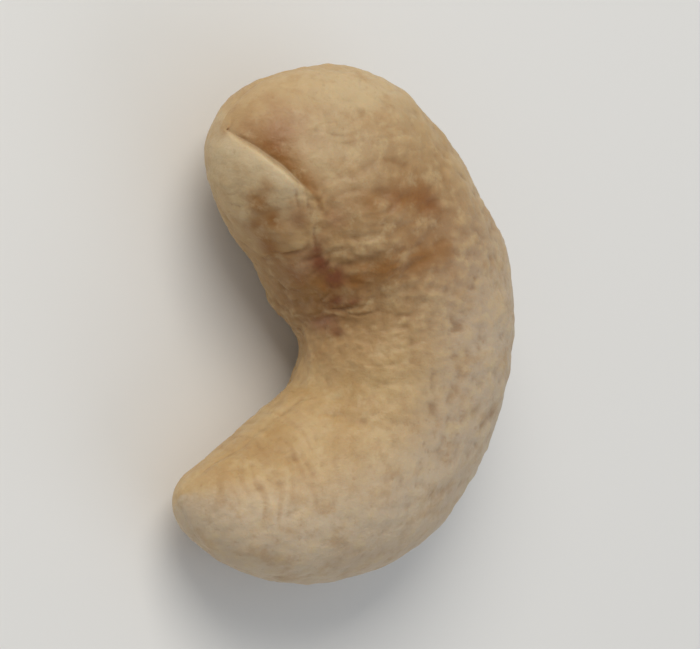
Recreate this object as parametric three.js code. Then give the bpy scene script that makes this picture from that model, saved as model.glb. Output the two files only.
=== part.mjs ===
import * as THREE from 'three';
import { mergeVertices } from 'three/addons/utils/BufferGeometryUtils.js';

// A whole shelled cashew kernel lying on its side, in millimetres with +Z up.
// The body bends like a C in the XY plane: broad end towards +Y, opening towards -X.
// Shares of the length run from 0 at the broad end to 1 at the narrow end.
// Angles round a section are in degrees: 0 faces the inside of the bend, 90 faces up.

// Middle line of the body
const MIDDLE_LINE_LENGTH = 33.5;
const FIRST_HEADING = -24.4;
const WHOLE_TURN = 169.2;
const BEND_FROM = 0.084;
const BEND_TO = 1.055;
const MIDDLE_LINE_STEPS = 160;

// Cross-sections: the widths are driven by a value at the broad end, a middle one and one at the narrow end
const INNER_HALF_WIDTHS = [5.3, 6.45, 3.6];
const OUTER_HALF_WIDTHS = [6.75, 6.85, 3.6];
const BROAD_HALF_THICKNESS = 6.0;
const NARROW_HALF_THICKNESS = 4.4;
const BROAD_END_SHARE = 0.45;
const NARROW_END_SHARE = 0.36;
const FLAT_SPOT_DEPTH = 0.18;

// Seam between the two seed halves
const SEAM_ANGLE_BROAD = 62;
const SEAM_ANGLE_NARROW = 12;
const SEAM_FALL_FROM = 0.03;
const SEAM_FALL_TO = 0.46;
const SEAM_DEPTH_BROAD = 0.5;
const SEAM_DEPTH_NARROW = 0.18;
const SEAM_HALF_WIDTH = 0.42;
const OUTER_SEAM_DEPTH = 0.13;
const OUTER_SEAM_HALF_WIDTH = 0.45;
const LIP_HEIGHT = 0.4;
const LIP_OFFSET = 0.8;
const LIP_HALF_WIDTH = 0.6;
const DIP_DEPTH = 0.35;
const DIP_OFFSET = 1.1;
const DIP_HALF_WIDTH = 1.1;
const LIP_FADES_FROM = 0.08;
const LIP_FADES_TO = 0.2;

// Creases in the skin: share and angle at the start, the same at the end, half width, depth
const CREASES = [
  [0.19, 82, 0.3, 105, 0.55, 0.36],
  [0.24, 34, 0.335, 99, 0.6, 0.28],
  [0.33, 40, 0.42, 86, 0.55, 0.22],
  [0.42, 50, 0.5, 94, 0.6, 0.18],
  [0.76, 42, 0.59, 86, 0.65, 0.3],
  [0.89, 40, 0.8, 96, 0.5, 0.14],
  [0.3, 128, 0.42, 172, 0.6, 0.2],
  [0.56, 120, 0.6, 176, 0.6, 0.18],
  [0.36, 190, 0.3, 236, 0.6, 0.2],
  [0.66, 196, 0.72, 240, 0.55, 0.18],
  [0.24, 300, 0.3, 345, 0.55, 0.2],
];

// Broad lumps: height, turns round the section, phase gained along the length, first phase
const LUMPS = [
  [0.14, 2, 10, 0.4],
  [0.1, 3, -15, 1.9],
  [0.08, 1, 24, 0.7],
];

// Mesh
const PANELS_AROUND = 56;
const PANELS_ALONG = 64;
const CROWDING_AT_SEAMS = 0.5;

function smoothStep(from, to, value) {
  return THREE.MathUtils.smoothstep(value, from, to);
}

function bump(distance, halfWidth) {
  return Math.exp(-((distance / halfWidth) ** 2));
}

// The heading turns smoothly from the first one, and the line is stepped along it.
function makeMiddleLine() {
  const points = [];
  const step = MIDDLE_LINE_LENGTH / MIDDLE_LINE_STEPS;
  const point = new THREE.Vector3();
  for (let i = 0; i <= MIDDLE_LINE_STEPS; i += 1) {
    points.push(point.clone());
    const share = (i + 0.5) / MIDDLE_LINE_STEPS;
    const turned = WHOLE_TURN * smoothStep(BEND_FROM, BEND_TO, share);
    const heading = THREE.MathUtils.degToRad(FIRST_HEADING - turned);
    point.x += step * Math.cos(heading);
    point.y += step * Math.sin(heading);
  }
  return new THREE.CatmullRomCurve3(points);
}

// Value at a share of the length, pulled from the first of three driving values through the second to the third.
function blend([first, second, third], share) {
  const left = 1 - share;
  return first * left ** 2 + 2 * second * left * share + third * share ** 2;
}

// Share of the full section left by the two rounded ends.
function roundedEnds(share) {
  const broad = 1 - Math.min(share / BROAD_END_SHARE, 1);
  const narrow = 1 - Math.min((1 - share) / NARROW_END_SHARE, 1);
  return Math.sqrt(1 - broad ** 3) * Math.sqrt(1 - narrow ** 3);
}

// Angle of the inner seam above the inside of the bend, in radians.
function seamAngle(share) {
  const fall = smoothStep(SEAM_FALL_FROM, SEAM_FALL_TO, share);
  return THREE.MathUtils.degToRad(THREE.MathUtils.lerp(SEAM_ANGLE_BROAD, SEAM_ANGLE_NARROW, fall));
}

// Depth of the creases, measured in the plane of the unrolled skin. Each one tapers to its ends.
function creaseDepth(share, angle, radius) {
  let depth = 0;
  const turn = 2 * Math.PI;
  const point = new THREE.Vector3(share * MIDDLE_LINE_LENGTH, (((angle % turn) + turn) % turn) * radius, 0);
  const nearest = new THREE.Vector3();
  for (const [share0, angle0, share1, angle1, halfWidth, deep] of CREASES) {
    const start = new THREE.Vector3(share0 * MIDDLE_LINE_LENGTH, THREE.MathUtils.degToRad(angle0) * radius, 0);
    const end = new THREE.Vector3(share1 * MIDDLE_LINE_LENGTH, THREE.MathUtils.degToRad(angle1) * radius, 0);
    const crease = new THREE.Line3(start, end);
    const part = crease.closestPointToPointParameter(point, true);
    const taper = Math.sqrt(4 * part * (1 - part));
    depth += deep * taper * bump(point.distanceTo(crease.at(part, nearest)), halfWidth);
  }
  return depth;
}

// Height of the skin above the plain section. The second angle is measured from the inner seam.
function relief(share, angle, fromSeam, radius) {
  const inner = Math.atan2(Math.sin(fromSeam), Math.cos(fromSeam)) * radius;
  const outer = Math.atan2(-Math.sin(fromSeam), -Math.cos(fromSeam)) * radius;
  const lipShare = 1 - smoothStep(LIP_FADES_FROM, LIP_FADES_TO, share);
  const seamDepth = THREE.MathUtils.lerp(SEAM_DEPTH_NARROW, SEAM_DEPTH_BROAD, lipShare);
  let height = -seamDepth * bump(inner, SEAM_HALF_WIDTH);
  height -= OUTER_SEAM_DEPTH * bump(outer, OUTER_SEAM_HALF_WIDTH);
  height += lipShare * LIP_HEIGHT * bump(inner + LIP_OFFSET, LIP_HALF_WIDTH);
  height -= lipShare * DIP_DEPTH * bump(inner - DIP_OFFSET, DIP_HALF_WIDTH);
  height -= creaseDepth(share, angle, radius);
  for (const [high, turns, gain, phase] of LUMPS) {
    height += high * Math.sin(turns * angle + gain * share + phase);
  }
  const ends = smoothStep(0, 0.07, share) * smoothStep(0, 0.07, 1 - share);
  const aboveFloor = smoothStep(0.01, 0.16, 1 + Math.sin(angle));
  return height * ends * aboveFloor;
}

// Skin point for a share of the length and an angle from the inner seam.
function skinPoint(middleLine, share, fromSeam, target) {
  const angle = fromSeam + seamAngle(share) * (1 + Math.cos(fromSeam)) / 2;
  const centre = middleLine.getPoint(share);
  const along = middleLine.getTangent(share);
  const inward = new THREE.Vector3(along.y, -along.x, 0);
  const ends = roundedEnds(share);
  const innerHalfWidth = blend(INNER_HALF_WIDTHS, share);
  const outerHalfWidth = blend(OUTER_HALF_WIDTHS, share);
  const halfWidth = Math.cos(angle) > 0 ? innerHalfWidth : outerHalfWidth;
  const halfThickness = THREE.MathUtils.lerp(BROAD_HALF_THICKNESS, NARROW_HALF_THICKNESS, share);
  const outward = new THREE.Vector2(Math.cos(angle) / halfWidth, Math.sin(angle) / halfThickness).normalize();
  const radius = ends * (innerHalfWidth + outerHalfWidth + 2 * halfThickness) / 4;
  const height = relief(share, angle, fromSeam, radius);
  const across = halfWidth * ends * Math.cos(angle) + height * outward.x;
  const up = halfThickness * (1 + ends * Math.sin(angle)) + height * outward.y;
  target.copy(centre).addScaledVector(inward, across);
  target.z = Math.max(up - FLAT_SPOT_DEPTH, 0);
}

// A sphere's net of panels is carried onto the skin, closed, and set over the origin.
function makeKernelGeometry() {
  const middleLine = makeMiddleLine();
  let geometry = new THREE.SphereGeometry(1, PANELS_AROUND, PANELS_ALONG);
  const place = geometry.attributes.position;
  const net = geometry.attributes.uv;
  const point = new THREE.Vector3();
  for (let i = 0; i < place.count; i += 1) {
    const round = Math.min(Math.max(net.getX(i), 0), 1);
    const share = (1 - Math.cos(Math.PI * (1 - net.getY(i)))) / 2;
    const fromSeam = 2 * Math.PI * round - CROWDING_AT_SEAMS * Math.sin(4 * Math.PI * round) / 2;
    skinPoint(middleLine, share, fromSeam, point);
    place.setXYZ(i, point.x, point.y, point.z);
  }
  geometry.deleteAttribute('normal');
  geometry.deleteAttribute('uv');
  geometry = mergeVertices(geometry, 1e-3);
  geometry.computeBoundingBox();
  const middle = geometry.boundingBox.getCenter(new THREE.Vector3());
  geometry.translate(-middle.x, -middle.y, -geometry.boundingBox.min.z);
  geometry.computeVertexNormals();
  return geometry;
}

const kernelFlesh = new THREE.MeshStandardMaterial({ color: '#b09670', roughness: 0.55, metalness: 0 });
kernelFlesh.name = 'kernel_flesh';

const kernel = new THREE.Mesh(makeKernelGeometry(), kernelFlesh);
kernel.name = 'kernel';

const cashewKernel = new THREE.Group();
cashewKernel.name = 'cashew_kernel';
cashewKernel.add(kernel);

export default cashewKernel;
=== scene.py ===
"""A whole shelled cashew kernel lying on its side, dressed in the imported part's frame, in metres."""

import bpy
import numpy as np
from mathutils import Matrix, Vector


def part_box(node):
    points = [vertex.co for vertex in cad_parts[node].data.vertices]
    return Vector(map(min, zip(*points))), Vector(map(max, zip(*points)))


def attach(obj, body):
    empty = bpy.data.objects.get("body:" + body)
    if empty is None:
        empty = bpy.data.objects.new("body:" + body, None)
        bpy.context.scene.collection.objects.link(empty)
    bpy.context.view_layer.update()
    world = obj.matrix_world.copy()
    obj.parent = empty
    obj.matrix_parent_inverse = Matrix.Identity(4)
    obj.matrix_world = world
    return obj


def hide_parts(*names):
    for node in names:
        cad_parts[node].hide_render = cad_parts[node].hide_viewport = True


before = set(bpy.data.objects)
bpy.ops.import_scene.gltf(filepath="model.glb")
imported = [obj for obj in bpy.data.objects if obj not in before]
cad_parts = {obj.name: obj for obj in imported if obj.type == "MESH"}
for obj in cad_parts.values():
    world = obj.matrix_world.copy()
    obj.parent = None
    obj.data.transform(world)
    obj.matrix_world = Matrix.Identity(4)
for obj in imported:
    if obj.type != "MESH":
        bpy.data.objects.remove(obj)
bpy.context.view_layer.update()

# Kernel body
# The peeled seed of a cashew: two seed halves grown together, bent like a C and broad at one end.
# It is an oval section carried along a bending middle line. Sizes here are in millimetres.
ROWS = 410
COLUMNS = 240
CROWDING_AT_SEAMS = 0.35
MIDDLE_LINE_LENGTH = 33.5
MIDDLE_LINE_STEPS = 4000
FIRST_HEADING = np.radians(-24.4)
WHOLE_TURN = np.radians(169.2)
BEND_FROM, BEND_TO = 0.084, 1.055
INNER_HALF_WIDTHS = (5.3, 6.45, 3.6)
OUTER_HALF_WIDTHS = (6.75, 6.85, 3.6)
BROAD_HALF_THICKNESS, NARROW_HALF_THICKNESS = 6.0, 4.4
BROAD_END_SHARE, NARROW_END_SHARE = 0.45, 0.36
SEAM_ANGLE_BROAD, SEAM_ANGLE_NARROW = np.radians(67), np.radians(12)
SEAM_FALL_FROM, SEAM_FALL_TO = 0.03, 0.46
FLAT_SPOT_DEPTH = 0.18


def smooth_step(low, high, value):
    """0 at low, 1 at high, and three times the square less twice the cube of the share between them."""
    part = np.clip((value - low) / (high - low), 0, 1)
    return part * part * (3 - 2 * part)


def mix(first, last, share):
    """The value that lies at a share of the way from first to last."""
    return first + (last - first) * share


def blend(values, share):
    """Three values, weighed by the square of what is left, twice that times the share, and its square."""
    first, second, third = values
    return first * (1 - share) ** 2 + 2 * second * share * (1 - share) + third * share ** 2


def middle_line(share):
    """Points and headings of the middle line. The heading turns smoothly, and the line is its running sum."""
    step = np.linspace(0, 1, MIDDLE_LINE_STEPS + 1)
    heading = FIRST_HEADING - WHOLE_TURN * smooth_step(BEND_FROM, BEND_TO, step)
    pace = np.stack([np.cos(heading), np.sin(heading)], -1) * MIDDLE_LINE_LENGTH / MIDDLE_LINE_STEPS
    line = np.concatenate([[[0, 0]], np.cumsum((pace[1:] + pace[:-1]) / 2, 0)])
    return [np.interp(share, step, values) for values in (line[:, 0], line[:, 1], heading)]


def rounded_ends(share):
    """Share of the full section left: for each end, the root of 1 less the cube of the way still to go."""
    broad = 1 - np.minimum(share / BROAD_END_SHARE, 1)
    narrow = 1 - np.minimum((1 - share) / NARROW_END_SHARE, 1)
    return np.sqrt(1 - broad ** 3) * np.sqrt(1 - narrow ** 3)


# Share of the length for each row, and the angle round the section for each point, both crowded
# where the shape turns quickly. Angle 0 faces the inside of the bend and a quarter turn faces up.
row = np.arange(1, ROWS + 1) / (ROWS + 1)
column = np.arange(COLUMNS) / COLUMNS
share = (1 - np.cos(np.pi * row))[:, None] / 2
from_seam = (2 * np.pi * column - CROWDING_AT_SEAMS * np.sin(4 * np.pi * column) / 2)[None]
seam_angle = mix(SEAM_ANGLE_BROAD, SEAM_ANGLE_NARROW, smooth_step(SEAM_FALL_FROM, SEAM_FALL_TO, share))
angle = from_seam + seam_angle * (1 + np.cos(from_seam)) / 2
line_x, line_y, heading = middle_line(share)
ends = rounded_ends(share)
inner_half_width = blend(INNER_HALF_WIDTHS, share)
outer_half_width = blend(OUTER_HALF_WIDTHS, share)
half_width = np.where(np.cos(angle) > 0, inner_half_width, outer_half_width)
half_thickness = mix(BROAD_HALF_THICKNESS, NARROW_HALF_THICKNESS, share)
radius = ends * (inner_half_width + outer_half_width + 2 * half_thickness) / 4


def skin_points(relief):
    """Points of the skin: the oval section, moved out by the relief along the oval's own normal."""
    slope_x = np.cos(angle) / half_width
    slope_z = np.sin(angle) / half_thickness
    slope = np.hypot(slope_x, slope_z)
    across = half_width * ends * np.cos(angle) + relief * slope_x / slope
    up = half_thickness * (1 + ends * np.sin(angle)) + relief * slope_z / slope - FLAT_SPOT_DEPTH
    x = line_x + np.sin(heading) * across
    y = line_y - np.cos(heading) * across
    return np.stack([x, y, np.maximum(up, 0)], -1)


plain_skin = skin_points(np.zeros_like(angle))

# Skin relief of the kernel
# The two seed halves meet at a seam with a raised lip at the broad end, where the skin is cracked.
# Drying has drawn the skin into creases, wrinkles and grains. Heights are in millimetres.
NOISE_SEED = 7
NOISE_CORNERS = 512


def lattice_noise(point, draw):
    """Gradient noise: a random slope at each corner of a unit cell, blended across it by a smooth fade."""
    chance = np.random.default_rng(NOISE_SEED + draw)
    order = np.tile(chance.permutation(NOISE_CORNERS), 2)
    slopes = chance.normal(size=(NOISE_CORNERS, 3))
    slopes /= np.linalg.norm(slopes, axis=1, keepdims=True)
    cell = np.floor(point).astype(int)
    inside = point - cell
    fade = inside ** 3 * (inside * (inside * 6 - 15) + 10)
    total = np.zeros(point.shape[:-1])
    for corner in np.ndindex(2, 2, 2):
        x, y, z = np.moveaxis((cell + corner) % NOISE_CORNERS, -1, 0)
        slope = slopes[order[order[order[x] + y] + z]]
        weight = np.where(corner, fade, 1 - fade).prod(-1)
        total += weight * ((inside - corner) * slope).sum(-1)
    return total


def bump(distance, half_width):
    """A bell: e to the minus square of the distance over the half width."""
    return np.exp(-(distance / half_width) ** 2)


def facing(degrees):
    """Cosine of the angle between each point's place round the section and the given one."""
    return np.cos(angle - np.radians(degrees))


# Wander keeps marks and wrinkles from running straight, and patches keep them from running through.
WANDER_SIZE, WANDER_REACH = 1.9, 0.75
PATCH_SIZE, PATCH_EDGE = 1.1, (-0.5, 0.3)
wander = np.stack([WANDER_REACH * lattice_noise(plain_skin / WANDER_SIZE, i) for i in range(3)], -1)
patchy = smooth_step(*PATCH_EDGE, lattice_noise(plain_skin / PATCH_SIZE, 13))
along = share * MIDDLE_LINE_LENGTH + wander[..., 0]
around = angle % (2 * np.pi) * radius + wander[..., 1]

# Creases and cracks: share and angle in degrees at the start, the same at the end, half width, depth.
# A low ridge runs along one side of each.
RIDGE_SHARE, RIDGE_OFFSET, RIDGE_WIDTH = 0.25, 1.6, 1.2
CREASES = (
    (0.185, 82, 0.3, 106, 0.32, 0.19),
    (0.24, 36, 0.335, 100, 0.36, 0.15),
    (0.2, 52, 0.27, 84, 0.3, 0.1),
    (0.29, 38, 0.37, 92, 0.32, 0.12),
    (0.345, 20, 0.37, 44, 0.22, 0.12),
    (0.36, 54, 0.42, 94, 0.3, 0.1),
    (0.44, 80, 0.47, 92, 0.22, 0.06),
    (0.46, 88, 0.66, 98, 0.3, 0.07),
    (0.6, 88, 0.76, 36, 0.5, 0.16),
    (0.88, 42, 0.78, 96, 0.5, 0.07),
    (0.3, 128, 0.42, 172, 0.45, 0.14),
    (0.56, 120, 0.6, 176, 0.45, 0.12),
    (0.36, 190, 0.3, 236, 0.45, 0.16),
    (0.66, 196, 0.72, 240, 0.45, 0.14),
    (0.24, 300, 0.3, 345, 0.45, 0.16),
)
CRACKS = (
    (0.09, 62, 0.125, 46, 0.1, 0.06),
    (0.11, 66, 0.135, 50, 0.09, 0.08),
    (0.14, 58, 0.19, 38, 0.11, 0.12),
    (0.175, 40, 0.15, 10, 0.13, 0.14),
    (0.2, 42, 0.235, 30, 0.12, 0.14),
)
marks = np.zeros_like(angle)
for share0, angle0, share1, angle1, half, deep in CREASES + CRACKS:
    from_along = along - share0 * MIDDLE_LINE_LENGTH
    from_around = around - np.radians(angle0) * radius
    run_along = (share1 - share0) * MIDDLE_LINE_LENGTH
    run_around = np.radians(angle1 - angle0) * radius
    run = np.hypot(run_along, run_around)
    part = np.clip((from_along * run_along + from_around * run_around) / run ** 2, 0, 1)
    side = (from_along * run_around - from_around * run_along) / run
    profile = RIDGE_SHARE * bump(side - RIDGE_OFFSET * half, RIDGE_WIDTH * half) - bump(side, half)
    marks += deep * patchy * np.sqrt(4 * part * (1 - part)) * profile

# The seam: one half rises slowly to a lip and drops steeply to the other half, which dips towards it.
# Past the lip it is hardly seen until the narrow half of the kernel, and it runs on round the back.
LIP_HEIGHT, LIP_SLOPE, LIP_EDGE = 0.4, 1.4, 0.1
LIP_STARTS_AT, LIP_FADES_FROM, LIP_FADES_TO = 0.004, 0.07, 0.105
DIP_DEPTH, DIP_SLOPE = 0.32, 1.7
SEAM_DEPTH, SEAM_HALF_WIDTH = 0.11, 0.22
SEAM_RETURNS_FROM, SEAM_RETURNS_TO = 0.45, 0.6
OUTER_SEAM_DEPTH, OUTER_SEAM_HALF_WIDTH = 0.15, 0.34
SEAM_WANDER, LIP_END_WANDER = 0.4, 0.03
to_inner_seam = np.arctan2(np.sin(from_seam), np.cos(from_seam)) * radius + SEAM_WANDER * wander[..., 2]
to_outer_seam = np.arctan2(-np.sin(from_seam), -np.cos(from_seam)) * radius
lip_share = 1 - smooth_step(LIP_FADES_FROM, LIP_FADES_TO, share + LIP_END_WANDER * wander[..., 2])
lip_share *= smooth_step(0, LIP_STARTS_AT, share)
lip = LIP_HEIGHT * bump(to_inner_seam, LIP_SLOPE)
dip = -DIP_DEPTH * bump(to_inner_seam, DIP_SLOPE)
seam = lip_share * mix(lip, dip, smooth_step(-LIP_EDGE, LIP_EDGE, to_inner_seam))
seam_share = mix(patchy * smooth_step(SEAM_RETURNS_FROM, SEAM_RETURNS_TO, share), 1, lip_share)
seam -= SEAM_DEPTH * seam_share * bump(to_inner_seam - LIP_EDGE, SEAM_HALF_WIDTH)
seam -= OUTER_SEAM_DEPTH * bump(to_outer_seam, OUTER_SEAM_HALF_WIDTH)

# Broad lumps of the body: height, turns round the section, phase gained along the length, first phase.
LUMPS = ((0.14, 2, 10, 0.4), (0.1, 3, -15, 1.9), (0.08, 1, 24, 0.7))
lumps = sum(high * np.sin(turns * angle + gain * share + phase) for high, turns, gain, phase in LUMPS)

# Wrinkles lie across the body, a little rising, and are deepest above the inside of the bend.
WRINKLE_TILT, WRINKLE_RISE = np.radians(34), np.radians(11)
WRINKLE_GAP, WRINKLE_RUN, WRINKLE_HEIGHT = 0.7, 2.6, 0.08
FINE_WRINKLE_SCALE, FINE_WRINKLE_HEIGHT = 2.1, 0.065
WRINKLE_LINE_SCALE, WRINKLE_LINE_WIDTH, WRINKLE_LINE_DEPTH = 0.8, 0.06, 0.06
WRINKLE_LINE_PATCH, WRINKLE_LINE_EDGE = 1.7, (-0.1, 0.25)
WRINKLED_SHARE, WRINKLED_REACH, WRINKLES_ELSEWHERE = 0.34, 0.22, 0.5
INNER_TOP_ANGLE, INNER_TOP_EDGE = 50, (-0.2, 0.7)
loose_skin = plain_skin + wander
rightward = loose_skin[..., 0] * np.cos(WRINKLE_TILT) + loose_skin[..., 2] * np.sin(WRINKLE_TILT)
upward = loose_skin[..., 1]
outward = loose_skin[..., 2] * np.cos(WRINKLE_TILT) - loose_skin[..., 0] * np.sin(WRINKLE_TILT)
wrinkle_run = (rightward * np.cos(WRINKLE_RISE) + upward * np.sin(WRINKLE_RISE)) / WRINKLE_RUN
wrinkle_gap = (upward * np.cos(WRINKLE_RISE) - rightward * np.sin(WRINKLE_RISE)) / WRINKLE_GAP
wrinkle_space = np.stack([wrinkle_run, wrinkle_gap, outward / WRINKLE_RUN], -1)
wrinkle_lines = bump(lattice_noise(WRINKLE_LINE_SCALE * wrinkle_space, 6), WRINKLE_LINE_WIDTH)
wrinkle_lines *= smooth_step(*WRINKLE_LINE_EDGE, lattice_noise(plain_skin / WRINKLE_LINE_PATCH, 7))
wrinkles = WRINKLE_HEIGHT * lattice_noise(wrinkle_space, 4)
wrinkles += FINE_WRINKLE_HEIGHT * lattice_noise(FINE_WRINKLE_SCALE * wrinkle_space, 5)
wrinkles -= WRINKLE_LINE_DEPTH * wrinkle_lines
inner_top = smooth_step(*INNER_TOP_EDGE, facing(INNER_TOP_ANGLE))
wrinkles *= mix(WRINKLES_ELSEWHERE, 1, bump(share - WRINKLED_SHARE, WRINKLED_REACH) * inner_top)

# Streaks ring the narrow end, and dents, pebbles, grains and flakes roughen the rest.
STREAK_GAP, STREAK_RUN, STREAK_HEIGHT = 0.42, 3.0, 0.06
STREAKED_FROM, STREAKED_TO = 0.74, 0.86
STREAK_ANGLE, STREAK_EDGE = 45, (-0.1, 0.8)
DENT_SIZE, DENT_HEIGHT = 3.1, 0.25
PEBBLE_SIZE, PEBBLE_HEIGHT = 1.05, 0.1
GRAIN_SIZE, FINE_GRAIN_SIZE, GRAIN_HEIGHT = 0.5, 0.27, 0.12
GRAINY_SHARE, GRAINY_REACH, GRAINS_ELSEWHERE = 0.42, 0.2, 0.45
FLAKE_SIZE, FLAKE_HEIGHT = 0.45, 0.2
FLAKED_SHARE, FLAKED_REACH = 0.15, 0.04
FLAKES_OFF_SEAM, FLAKES_WIDTH = 0.2, 0.9
streak_across = np.cos(angle) * radius / STREAK_RUN
streak_up = np.sin(angle) * radius / STREAK_RUN
streaks = lattice_noise(np.stack([along / STREAK_GAP, streak_across, streak_up], -1), 8)
streaks *= smooth_step(STREAKED_FROM, STREAKED_TO, share) * smooth_step(*STREAK_EDGE, facing(STREAK_ANGLE))
grains = lattice_noise(plain_skin / GRAIN_SIZE, 9) + lattice_noise(plain_skin / FINE_GRAIN_SIZE, 10) / 2
grains *= mix(GRAINS_ELSEWHERE, 1, bump(share - GRAINY_SHARE, GRAINY_REACH) * inner_top)
flakes = lattice_noise(loose_skin / FLAKE_SIZE, 11)
flakes *= bump(share - FLAKED_SHARE, FLAKED_REACH) * bump(to_inner_seam - FLAKES_OFF_SEAM, FLAKES_WIDTH)
roughness = STREAK_HEIGHT * streaks + GRAIN_HEIGHT * grains + FLAKE_HEIGHT * flakes
roughness += DENT_HEIGHT * lattice_noise(plain_skin / DENT_SIZE, 3)
roughness += PEBBLE_HEIGHT * lattice_noise(plain_skin / PEBBLE_SIZE, 12)

# The relief fades out at the tips, so that they close, and under the kernel, so that it lies flat.
LUMPS_FADE, TIP_FADE = 0.07, 0.003
FLOOR_FADE = (0.01, 0.16)
off_ends = smooth_step(0, LUMPS_FADE, share) * smooth_step(0, LUMPS_FADE, 1 - share)
off_tips = smooth_step(0, TIP_FADE, share) * smooth_step(0, TIP_FADE, 1 - share)
above_floor = smooth_step(*FLOOR_FADE, 1 + np.sin(angle))
relief = above_floor * (off_ends * lumps + off_tips * (seam + marks + wrinkles + roughness))
skin = skin_points(relief)

# Closed skin of the kernel
# Rings of points from the broad tip to the narrow one, closed by a fan at each tip, are set to the
# part's own length and place.
tip_x, tip_y, _ = middle_line(np.array([0.0, 1.0]))
tip_z = np.array([BROAD_HALF_THICKNESS, NARROW_HALF_THICKNESS]) - FLAT_SPOT_DEPTH
points = np.concatenate([skin.reshape(-1, 3), np.stack([tip_x, tip_y, tip_z], -1)])
low, high = points.min(0), points.max(0)
points -= [(low[0] + high[0]) / 2, (low[1] + high[1]) / 2, low[2]]
kernel_low, kernel_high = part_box("kernel")
points *= (kernel_high.y - kernel_low.y) / (high[1] - low[1])
points += [(kernel_low.x + kernel_high.x) / 2, (kernel_low.y + kernel_high.y) / 2, kernel_low.z]

ring = np.arange(ROWS * COLUMNS).reshape(ROWS, COLUMNS)
beside = np.roll(ring, -1, 1)
panels = np.stack([ring[:-1], ring[1:], beside[1:], beside[:-1]], -1).reshape(-1, 4)
broad_fan = np.stack([np.full(COLUMNS, ROWS * COLUMNS), ring[0], beside[0]], -1)
narrow_fan = np.stack([np.full(COLUMNS, ROWS * COLUMNS + 1), beside[-1], ring[-1]], -1)
skin_mesh = bpy.data.meshes.new("cashew_kernel")
skin_mesh.from_pydata(points, [], panels.tolist() + broad_fan.tolist() + narrow_fan.tolist())
skin_mesh.shade_smooth()

# Masks for the colours of the flesh
# Each is a number from 0 to 1 for every skin point, kept on the mesh as an attribute. Spots are
# given by share, angle in degrees, half width in millimetres and strength.
STAINS = (
    (0.19, 38, 0.6, 0.9),
    (0.215, 34, 0.5, 0.9),
    (0.255, 38, 0.5, 0.8),
    (0.275, 34, 0.6, 0.9),
    (0.32, 28, 0.7, 0.9),
    (0.345, 36, 0.4, 0.8),
    (0.43, 22, 0.5, 0.6),
    (0.13, 44, 0.6, 0.5),
    (0.24, 90, 0.7, 0.4),
    (0.285, 100, 0.7, 0.4),
)
PINK_SPOTS = (
    (0.38, 13, 1.0, 0.65),
    (0.2, 24, 0.8, 0.45),
    (0.05, 100, 1.2, 0.35),
    (0.17, 60, 0.7, 0.35),
)
GOLDEN_SPOTS = (
    (0.075, 32, 0.9, 0.9),
    (0.12, 16, 1.0, 0.8),
    (0.17, 12, 1.2, 0.7),
    (0.25, 24, 1.3, 0.7),
    (0.035, 90, 1.3, 0.5),
    (0.53, 5, 2.6, 0.4),
    (0.205, 80, 0.7, 0.7),
    (0.24, 90, 0.7, 0.9),
    (0.275, 98, 0.7, 0.8),
    (0.28, 30, 0.9, 0.8),
    (0.295, 46, 0.9, 0.9),
    (0.31, 62, 0.9, 0.9),
    (0.33, 78, 0.9, 0.8),
    (0.35, 92, 0.9, 0.7),
)
CREAM_SPOTS = (
    (0.145, 53, 0.3, 0.7),
    (0.158, 47, 0.25, 0.7),
    (0.23, 62, 1.0, 0.15),
    (0.26, 78, 1.0, 0.15),
    (0.375, 58, 1.1, 0.25),
    (0.41, 76, 1.1, 0.25),
)
SPOT_RAGGEDNESS = 0.9


def spots(places):
    """Sum of round bells on the unrolled skin, each made ragged by noise, and no more than 1."""
    total = np.zeros_like(angle)
    ragged = 1 + SPOT_RAGGEDNESS * lattice_noise(plain_skin / PATCH_SIZE, 9)
    for share0, angle0, half, strength in places:
        turned = angle - np.radians(angle0)
        around_by = np.arctan2(np.sin(turned), np.cos(turned)) * radius
        away = np.hypot((share - share0) * MIDDLE_LINE_LENGTH, around_by)
        total += strength * bump(away * ragged, half)
    return np.clip(total, 0, 1)


def blurred(field, passes):
    """The field after passes that average each point, weighed four times, with its four neighbours."""
    for _ in range(passes):
        padded = np.concatenate([field[:1], field, field[-1:]])
        field = (padded[:-2] + padded[2:] + np.roll(field, 1, 1) + np.roll(field, -1, 1) + 4 * field) / 8
    return field


# Zones of the flesh: a place along the length, an angle that they face, and soft edges.
CROWN_SHARE, CROWN_REACH, CROWN_ANGLE, CROWN_EDGE = 0.13, 0.11, 120, (0.3, 1)
BROWNED_SHARE, BROWNED_REACH, BROWNED_ANGLE, BROWNED_EDGE = 0.31, 0.18, 48, (-0.2, 0.75)
MARGIN_START, MARGIN_ANGLE, MARGIN_EDGE = (0.25, 0.5), 150, (-0.1, 0.75)
LOBE_END, LOBE_EDGE, LOBE_WIDTH = (0.09, 0.15), (0.1, -0.3), 3
GOLDEN_START, GOLDEN_END, GOLDEN_EDGE, GOLDEN_WIDTH = (0, 0.06), (0.1, 0.17), (0, 0.25), 1.3
LIP_HIGHLIGHT_OFFSET, LIP_HIGHLIGHT_WIDTH = 0.3, 0.45
HOLLOW_REACH, HOLLOW_DEPTH = 40, 0.1
HOLLOW_EDGE, RIDGE_HIGHLIGHT_EDGE, STREAK_TINT_EDGE = (0.04, 1), (0.04, 0.8), (0.02, 0.3)
# Painted shade and highlight: the flesh is darkened where the relief lies below its blurred self and paled
# where it stands above it.
depth = (blurred(relief, HOLLOW_REACH) - relief) / HOLLOW_DEPTH
# Painted highlight: the top of the broad end is paled with lit cream, as where light falls on it.
lit_crown = bump(share - CROWN_SHARE, CROWN_REACH) * smooth_step(*CROWN_EDGE, facing(CROWN_ANGLE))
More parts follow.
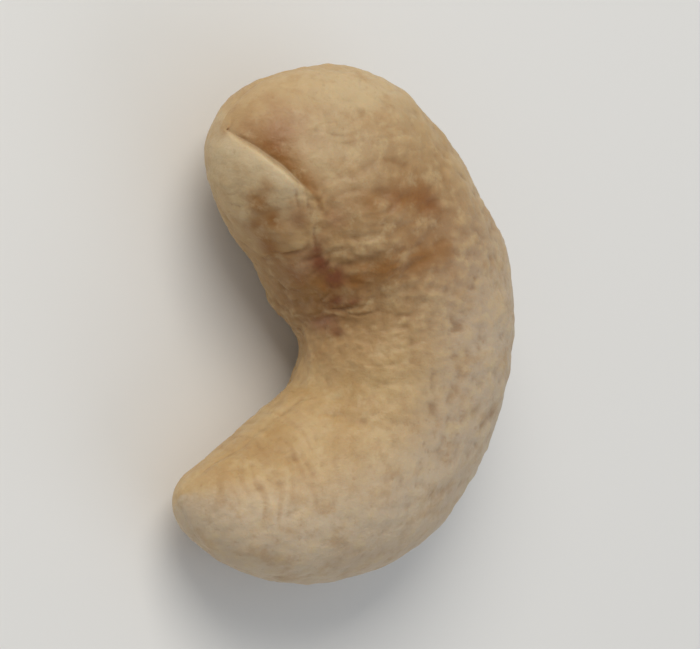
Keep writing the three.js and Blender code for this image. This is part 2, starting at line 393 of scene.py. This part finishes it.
# Brown on the inside of the bend near the middle: partly real browning, partly painted shade.
browned_and_shaded = bump(share - BROWNED_SHARE, BROWNED_REACH) * smooth_step(*BROWNED_EDGE, facing(BROWNED_ANGLE))
# Painted light: the outer side of the bend is paled to a greyish cream, as a reflected rim of light.
rim_light = smooth_step(*MARGIN_EDGE, facing(MARGIN_ANGLE)) * smooth_step(*MARGIN_START, share)
# Painted highlight: the lobe beside the seam at the broad end is paled with the same lit cream.
lobe_length = 1 - smooth_step(*LOBE_END, share)
lit_lobe = lobe_length * smooth_step(*LOBE_EDGE, to_inner_seam) * bump(to_inner_seam, LOBE_WIDTH)
golden_length = smooth_step(*GOLDEN_START, share) * (1 - smooth_step(*GOLDEN_END, share))
golden_band = golden_length * smooth_step(*GOLDEN_EDGE, to_inner_seam) * bump(to_inner_seam, GOLDEN_WIDTH)
masks = {
    "lit_crown": lit_crown,
    "lit_lobe": lit_lobe,
    "browned_and_shaded": browned_and_shaded,
    "rim_light": rim_light,
    "streak": smooth_step(*STREAK_TINT_EDGE, -streaks),
    "ridge": smooth_step(*RIDGE_HIGHLIGHT_EDGE, -depth),
    "hollow_shade": smooth_step(*HOLLOW_EDGE, depth),
    "golden": np.clip(spots(GOLDEN_SPOTS) + golden_band, 0, 1),
    "pink": spots(PINK_SPOTS),
    "stain": spots(STAINS),
    "cream": spots(CREAM_SPOTS),
    # Painted highlight: a pale line along the edge of the seam's lip, where it catches the light.
    "lip": lip_share * bump(to_inner_seam + LIP_HIGHLIGHT_OFFSET, LIP_HIGHLIGHT_WIDTH),
}
STRENGTHS = {
    "lit_crown": 0.6,
    "lit_lobe": 0.75,
    "browned_and_shaded": 0.8,
    "rim_light": 0.6,
    "streak": 0.3,
    "ridge": 0.35,
    "hollow_shade": 0.5,
    "lip": 0.8,
}
for name, field in masks.items():
    field = STRENGTHS.get(name, 1) * field
    values = np.concatenate([field.ravel(), [field[0].mean(), field[-1].mean()]])
    skin_mesh.attributes.new(name, "FLOAT", "POINT").data.foreach_set("value", values)

# Peeled flesh of the kernel
# Raw cashew flesh after its red skin is rubbed off: oily, starchy and slightly see-through, so light
# softens in it. It is red-brown where skin was left. Its colour also holds painted light: cream painted
# highlights on the ridges, broad end, lobe, lip and outer side, and tan painted shade in the hollows
# and, in part, on the inside of the bend.
MILLIMETRE = 0.001
TAN_FLESH = "#b08d5b"
PALE_FLESH = "#c9ad7f"
CREAM_FLESH = "#cbb388"
PAINTED_HIGHLIGHT_CREAM = "#cab692"
RIM_LIGHT_CREAM = "#c4b5a1"
RUSSET_TAN = "#a37c4e"
BROWNED_AND_SHADED_TAN = "#875d2f"
GOLDEN_BROWN = "#8f6029"
HOLLOW_SHADE_BROWN = "#7d5224"
PINK_BROWN = "#94634a"
STAIN_BROWN = "#7a4420"
FLECK_BROWN = "#8f6238"
# Each tint: colour, mask or none, and blotches or none, by size in millimetres, start, full, strength.
TINTS = (
    (PALE_FLESH, None, (2.6, 0.25, 0.75, 1.0)),
    # Painted highlights on the top of the broad end and on the lobe beside the seam.
    (PAINTED_HIGHLIGHT_CREAM, "lit_crown", None),
    (PAINTED_HIGHLIGHT_CREAM, "lit_lobe", None),
    # Partly real browning, partly painted shade on the inside of the bend.
    (BROWNED_AND_SHADED_TAN, "browned_and_shaded", None),
    # Painted light along the outer side of the bend.
    (RIM_LIGHT_CREAM, "rim_light", None),
    (RUSSET_TAN, None, (1.3, 0.45, 0.72, 0.5)),
    (RUSSET_TAN, "streak", None),
    (CREAM_FLESH, None, (0.95, 0.5, 0.7, 0.4)),
    # Painted highlight on the ridges, painted shade in the hollows.
    (PALE_FLESH, "ridge", None),
    (HOLLOW_SHADE_BROWN, "hollow_shade", None),
    (GOLDEN_BROWN, "golden", (1.1, 0.25, 0.5, 1.0)),
    (PINK_BROWN, "pink", None),
    (STAIN_BROWN, "stain", (0.7, 0.2, 0.5, 1.0)),
    (CREAM_FLESH, "cream", (0.6, 0.3, 0.6, 1.0)),
    # Painted highlight along the lip's edge.
    (PAINTED_HIGHLIGHT_CREAM, "lip", None),
    (FLECK_BROWN, None, (0.35, 0.58, 0.75, 0.25)),
)
BLOTCH_DETAIL, BLOTCH_BREAKUP = 4, 0.6
SHEEN_PATCH_MM, SHEEN_DETAIL, SHEEN_BREAKUP = 0.8, 3, 0.55
SHEEN_STARTS, SHEEN_FULL = 0.3, 0.7
ROUGHNESS_LOW, ROUGHNESS_HIGH = 0.46, 0.62
GRIT_MM, GRIT_HEIGHT_MM, GRIT_STRENGTH = 0.22, 0.08, 0.6
OILY_FLESH_IOR = 1.46
SEE_THROUGH_SHARE, LIGHT_DEPTH_MM = 0.25, 1.1
LIGHT_DEPTH_RED_GREEN_BLUE = (1.0, 0.55, 0.28)


def linear(colour):
    """Linear colour of an sRGB hex one: small parts over 12.92, others moved by 0.055 and raised to 2.4."""
    part = np.array([int(colour[i:i + 2], 16) / 255 for i in (1, 3, 5)])
    part = np.where(part <= 0.04045, part / 12.92, ((part + 0.055) / 1.055) ** 2.4)
    return (*part.tolist(), 1.0)


def add_node(tree, kind, settings, values, links):
    """Adds a node with its settings and input values, and links other nodes' outputs to its inputs."""
    node = tree.nodes.new(kind)
    for name, value in settings.items():
        setattr(node, name, value)
    for name, value in values.items():
        node.inputs[name].default_value = value
    for name, source in links.items():
        tree.links.new(source, node.inputs[name])
    return node


def peeled_cashew_flesh():
    """Tan flesh, tinted layer by layer through masks and noise, with patches of sheen and a fine grit."""
    material = bpy.data.materials.new("peeled_cashew_flesh")
    material.use_nodes = True
    tree = material.node_tree
    shader = tree.nodes["Principled BSDF"]
    place = add_node(tree, "ShaderNodeTexCoord", {}, {}, {}).outputs["Object"]
    smooth = {"interpolation_type": "SMOOTHSTEP"}
    below_value, below_link = {6: linear(TAN_FLESH)}, {}
    for colour, mask, blotches in TINTS:
        if blotches:
            size, starts, full, strength = blotches
            values = {"Scale": 1 / (size * MILLIMETRE), "Detail": BLOTCH_DETAIL, "Roughness": BLOTCH_BREAKUP}
            noise = add_node(tree, "ShaderNodeTexNoise", {}, values, {"Vector": place})
            values = {"From Min": starts, "From Max": full, "To Max": strength}
            noise = add_node(tree, "ShaderNodeMapRange", smooth, values, {"Value": noise.outputs["Fac"]})
            amount = noise.outputs["Result"]
        if mask:
            field = add_node(tree, "ShaderNodeAttribute", {"attribute_name": mask}, {}, {}).outputs["Fac"]
        if mask and blotches:
            product = add_node(tree, "ShaderNodeMath", {"operation": "MULTIPLY"}, {}, {0: field, 1: amount})
            amount = product.outputs["Value"]
        elif mask:
            amount = field
        values = {7: linear(colour)} | below_value
        tinted = add_node(tree, "ShaderNodeMix", {"data_type": "RGBA"}, values, {0: amount} | below_link)
        below_value, below_link = {}, {6: tinted.outputs[2]}
    tree.links.new(tinted.outputs[2], shader.inputs["Base Color"])
    values = {"Scale": 1 / (SHEEN_PATCH_MM * MILLIMETRE), "Detail": SHEEN_DETAIL, "Roughness": SHEEN_BREAKUP}
    sheen = add_node(tree, "ShaderNodeTexNoise", {}, values, {"Vector": place})
    values = {"From Min": SHEEN_STARTS, "From Max": SHEEN_FULL}
    values |= {"To Min": ROUGHNESS_LOW, "To Max": ROUGHNESS_HIGH}
    sheen = add_node(tree, "ShaderNodeMapRange", smooth, values, {"Value": sheen.outputs["Fac"]})
    tree.links.new(sheen.outputs["Result"], shader.inputs["Roughness"])
    values = {"Scale": 1 / (GRIT_MM * MILLIMETRE), "Detail": BLOTCH_DETAIL, "Roughness": BLOTCH_BREAKUP}
    grit = add_node(tree, "ShaderNodeTexNoise", {}, values, {"Vector": place})
    values = {"Strength": GRIT_STRENGTH, "Distance": GRIT_HEIGHT_MM * MILLIMETRE}
    grit = add_node(tree, "ShaderNodeBump", {}, values, {"Height": grit.outputs["Fac"]})
    tree.links.new(grit.outputs["Normal"], shader.inputs["Normal"])
    shader.inputs["IOR"].default_value = OILY_FLESH_IOR
    shader.inputs["Subsurface Weight"].default_value = SEE_THROUGH_SHARE
    shader.inputs["Subsurface Radius"].default_value = LIGHT_DEPTH_RED_GREEN_BLUE
    shader.inputs["Subsurface Scale"].default_value = LIGHT_DEPTH_MM * MILLIMETRE
    return material


skin_mesh.materials.append(peeled_cashew_flesh())
kernel = bpy.data.objects.new("cashew_kernel", skin_mesh)
bpy.context.scene.collection.objects.link(kernel)
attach(kernel, "root")
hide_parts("kernel")

# Floor
# A plain pale matt table top that the kernel lies on. It is one flat sheet of white laminate,
# set just under the kernel so that the two do not share a plane.
FLOOR_HALF = 0.6
FLOOR_WHITE, FLOOR_ROUGHNESS = "#e4e3e0", 0.7
FLOOR_GAP_MM = 0.01
floor_mesh = bpy.data.meshes.new("floor")
corners = FLOOR_HALF * np.array([[-1, -1, 0], [1, -1, 0], [1, 1, 0], [-1, 1, 0]])
floor_mesh.from_pydata(corners - [0, 0, FLOOR_GAP_MM * MILLIMETRE], [], [(0, 1, 2, 3)])
floor_material = bpy.data.materials.new("matt_white_laminate")
floor_material.use_nodes = True
floor_shader = floor_material.node_tree.nodes["Principled BSDF"]
floor_shader.inputs["Base Color"].default_value = linear(FLOOR_WHITE)
floor_shader.inputs["Roughness"].default_value = FLOOR_ROUGHNESS
floor_mesh.materials.append(floor_material)
floor = bpy.data.objects.new("floor", floor_mesh)
bpy.context.scene.collection.objects.link(floor)

# Light
# Soft daylight: one broad panel from the side of the broad end, a weaker one opposite, and a pale sky.
# Places and sizes of the panels are in metres, and their powers in watts.
KEY_PLACE, KEY_SIZE, KEY_POWER, KEY_WHITE = (-0.11, 0.21, 0.26), 0.2, 0.8, "#fffaf2"
FILL_PLACE, FILL_SIZE, FILL_POWER, FILL_WHITE = (0.22, -0.2, 0.2), 0.3, 0.22, "#f1f5ff"
SKY_WHITE, SKY_STRENGTH = "#eef2f6", 0.45
middle = (Vector(kernel_low) + Vector(kernel_high)) / 2


def soft_panel(name, place, size, power, colour):
    """A square light panel of the given size that faces the kernel's middle."""
    lamp = bpy.data.lights.new(name, "AREA")
    lamp.size = size
    lamp.energy = power
    lamp.color = linear(colour)[:3]
    panel = bpy.data.objects.new(name, lamp)
    panel.location = place
    panel.rotation_euler = (middle - Vector(place)).to_track_quat("-Z", "Y").to_euler()
    bpy.context.scene.collection.objects.link(panel)


soft_panel("key_panel", KEY_PLACE, KEY_SIZE, KEY_POWER, KEY_WHITE)
soft_panel("fill_panel", FILL_PLACE, FILL_SIZE, FILL_POWER, FILL_WHITE)
world = bpy.data.worlds.new("pale_sky")
world.use_nodes = True
world.node_tree.nodes["Background"].inputs["Color"].default_value = linear(SKY_WHITE)
world.node_tree.nodes["Background"].inputs["Strength"].default_value = SKY_STRENGTH
bpy.context.scene.world = world
bpy.context.scene.view_settings.view_transform = "Standard"

# Camera
# It looks in over the inside of the bend, as the photograph does, and is rolled so that the broad
# end is up. A long lens keeps the kernel's outline free of perspective.
PHOTO_WIDTH, PHOTO_HEIGHT = 700, 649
CAMERA_ELEVATION = np.radians(56)
KERNEL_SHARE_OF_HEIGHT = 0.8
LENS_MM, SENSOR_MM = 300, 36
to_camera = Vector((-np.cos(CAMERA_ELEVATION), 0, np.sin(CAMERA_ELEVATION)))
picture_right = Vector((np.sin(CAMERA_ELEVATION), 0, np.cos(CAMERA_ELEVATION)))
picture_up = Vector((0, 1, 0))
picture_width = (kernel_high.y - kernel_low.y) / KERNEL_SHARE_OF_HEIGHT * PHOTO_WIDTH / PHOTO_HEIGHT
camera_data = bpy.data.cameras.new("camera")
camera_data.lens = LENS_MM
camera_data.sensor_width = SENSOR_MM
camera = bpy.data.objects.new("camera", camera_data)
turn = Matrix((picture_right, picture_up, to_camera)).transposed().to_4x4()
camera.matrix_world = Matrix.Translation(middle + to_camera * picture_width * LENS_MM / SENSOR_MM) @ turn
bpy.context.scene.collection.objects.link(camera)
bpy.context.scene.camera = camera
